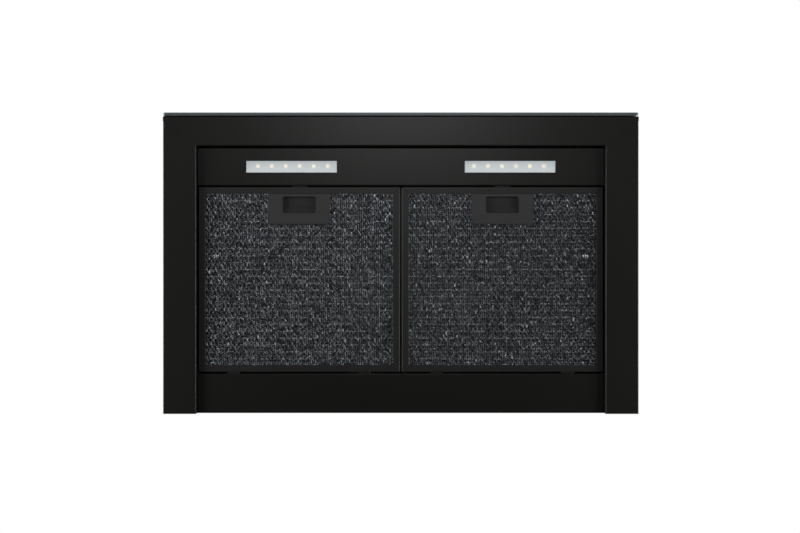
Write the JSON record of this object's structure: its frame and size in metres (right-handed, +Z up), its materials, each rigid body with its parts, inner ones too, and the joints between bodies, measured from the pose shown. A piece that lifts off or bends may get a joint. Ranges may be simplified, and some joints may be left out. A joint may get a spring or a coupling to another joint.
{
  "type": "under cabinet range hood",
  "caption": "Slim wedge-shaped under cabinet cooker hood with a glass front edge, twin drop-down mesh filters with latches, lamps, blower and round top outlet.",
  "frame": {"origin": "middle of the four cabinet screw slots, on the top face", "axes": "+Z up, +X to the right across the hood, +Y towards the wall, so the front glass faces -Y"},
  "size_m": [0.756, 0.479, 0.19],
  "materials": {
    "satin_black": "satin, fine even grain, soft sheen",
    "black_glass": "polished, printed black behind, ground edge",
    "foam_tape": "matt foam",
    "circuit_board": "green solder mask",
    "white_plastic": "moulded, faint grain",
    "frosted_lens": "frosted, lets light through",
    "led_board_white": "white solder mask with yellow chips",
    "zinc_screw": "zinc plated",
    "galvanised": "galvanised, faint spangle",
    "bright_steel": "ground bright",
    "motor_iron": "stacked laminations",
    "copper_wire": "enamelled copper",
    "black_plastic": "fine moulded texture",
    "lead_sheath": "smooth sheath",
    "filter_frame_aluminium": "anodised black, satin",
    "filter_mesh_aluminium": "dark expanded mesh with bright worn strands"
  },
  "bodies": {
    "root": {"top_panel": "satin_black", "sloped_panel": "satin_black", "front_fascia": "satin_black", "side_panel_left": "satin_black", "side_panel_right": "satin_black", "rear_panel": "satin_black", "rear_vent_cover": "satin_black", "rear_rail": "satin_black", "lamp_panel": "satin_black", "filter_divider": "satin_black", "panel_screws": "zinc_screw", "front_glass": "black_glass", "glass_tape": "foam_tape", "touch_board": "circuit_board", "touch_board_tray": "white_plastic", "lamp_lens_left": "frosted_lens", "lamp_lens_right": "frosted_lens", "lamp_housing_left": "white_plastic", "lamp_housing_right": "white_plastic", "led_board_left": "led_board_white", "led_board_right": "led_board_white", "duct_collar": "galvanised", "collar_gasket": "foam_tape", "collar_screws": "zinc_screw", "damper_rod": "zinc_screw", "blower_mount_plate": "galvanised", "blower_scroll": "galvanised", "scroll_plate_left": "galvanised", "scroll_plate_right": "galvanised", "motor_stator": "motor_iron", "motor_windings": "copper_wire", "motor_case": "galvanised", "motor_end_cap": "galvanised", "motor_bearings": "bright_steel", "motor_bracket": "galvanised", "blower_screws": "zinc_screw", "run_capacitor": "white_plastic", "capacitor_clip": "galvanised", "wiring_box": "galvanised", "wiring_box_cover": "galvanised", "terminal_block": "white_plastic", "cable_bushing": "black_plastic", "control_box": "white_plastic", "control_board": "circuit_board", "wiring_harness": "lead_sheath"},
    "flap_front": {"damper_flap_front": "galvanised"},
    "flap_rear": {"damper_flap_rear": "galvanised"},
    "wheel": {"blower_wheel": "galvanised", "motor_shaft": "bright_steel", "motor_rotor": "bright_steel"},
    "filter_left": {"filter_frame_left": "filter_frame_aluminium", "filter_mesh_left": "filter_mesh_aluminium", "latch_body_left": "black_plastic", "latch_springs_left": "bright_steel"},
    "filter_right": {"filter_frame_right": "filter_frame_aluminium", "filter_mesh_right": "filter_mesh_aluminium", "latch_body_right": "black_plastic", "latch_springs_right": "bright_steel"},
    "latch_left": {"latch_slider_left": "black_plastic"},
    "latch_right": {"latch_slider_right": "black_plastic"}
  },
  "joints": [
    {"name": "filter_left_swing", "type": "hinge", "parent": "root", "child": "filter_left", "pos_m": [-0.1625, 0.09, -0.139], "axis": [1, 0, 0], "range_deg": [0, 45]},
    {"name": "latch_left_slide", "type": "slide", "parent": "filter_left", "child": "latch_left", "axis": [0, 1, 0], "range_m": [0, 0.006], "stiffness_N_per_m": 250, "springref_m": -0.004, "deforming": ["latch_springs_left"]},
    {"name": "filter_right_swing", "type": "hinge", "parent": "root", "child": "filter_right", "pos_m": [0.1625, 0.09, -0.139], "axis": [1, 0, 0], "range_deg": [0, 45]},
    {"name": "latch_right_slide", "type": "slide", "parent": "filter_right", "child": "latch_right", "axis": [0, 1, 0], "range_m": [0, 0.006], "stiffness_N_per_m": 250, "springref_m": -0.004, "deforming": ["latch_springs_right"]},
    {"name": "damper_front_swing", "type": "hinge", "parent": "root", "child": "flap_front", "pos_m": [0, 0.0275, 0.0125], "axis": [-1, 0, 0], "range_deg": [0, 75]},
    {"name": "damper_rear_swing", "type": "hinge", "parent": "root", "child": "flap_rear", "pos_m": [0, 0.0275, 0.0125], "axis": [1, 0, 0], "range_deg": [0, 75]},
    {"name": "blower_wheel_spin", "type": "hinge", "parent": "root", "child": "wheel", "pos_m": [0, -0.01802, -0.05171], "axis": [1, 0, 0], "continuous": true}
  ]
}
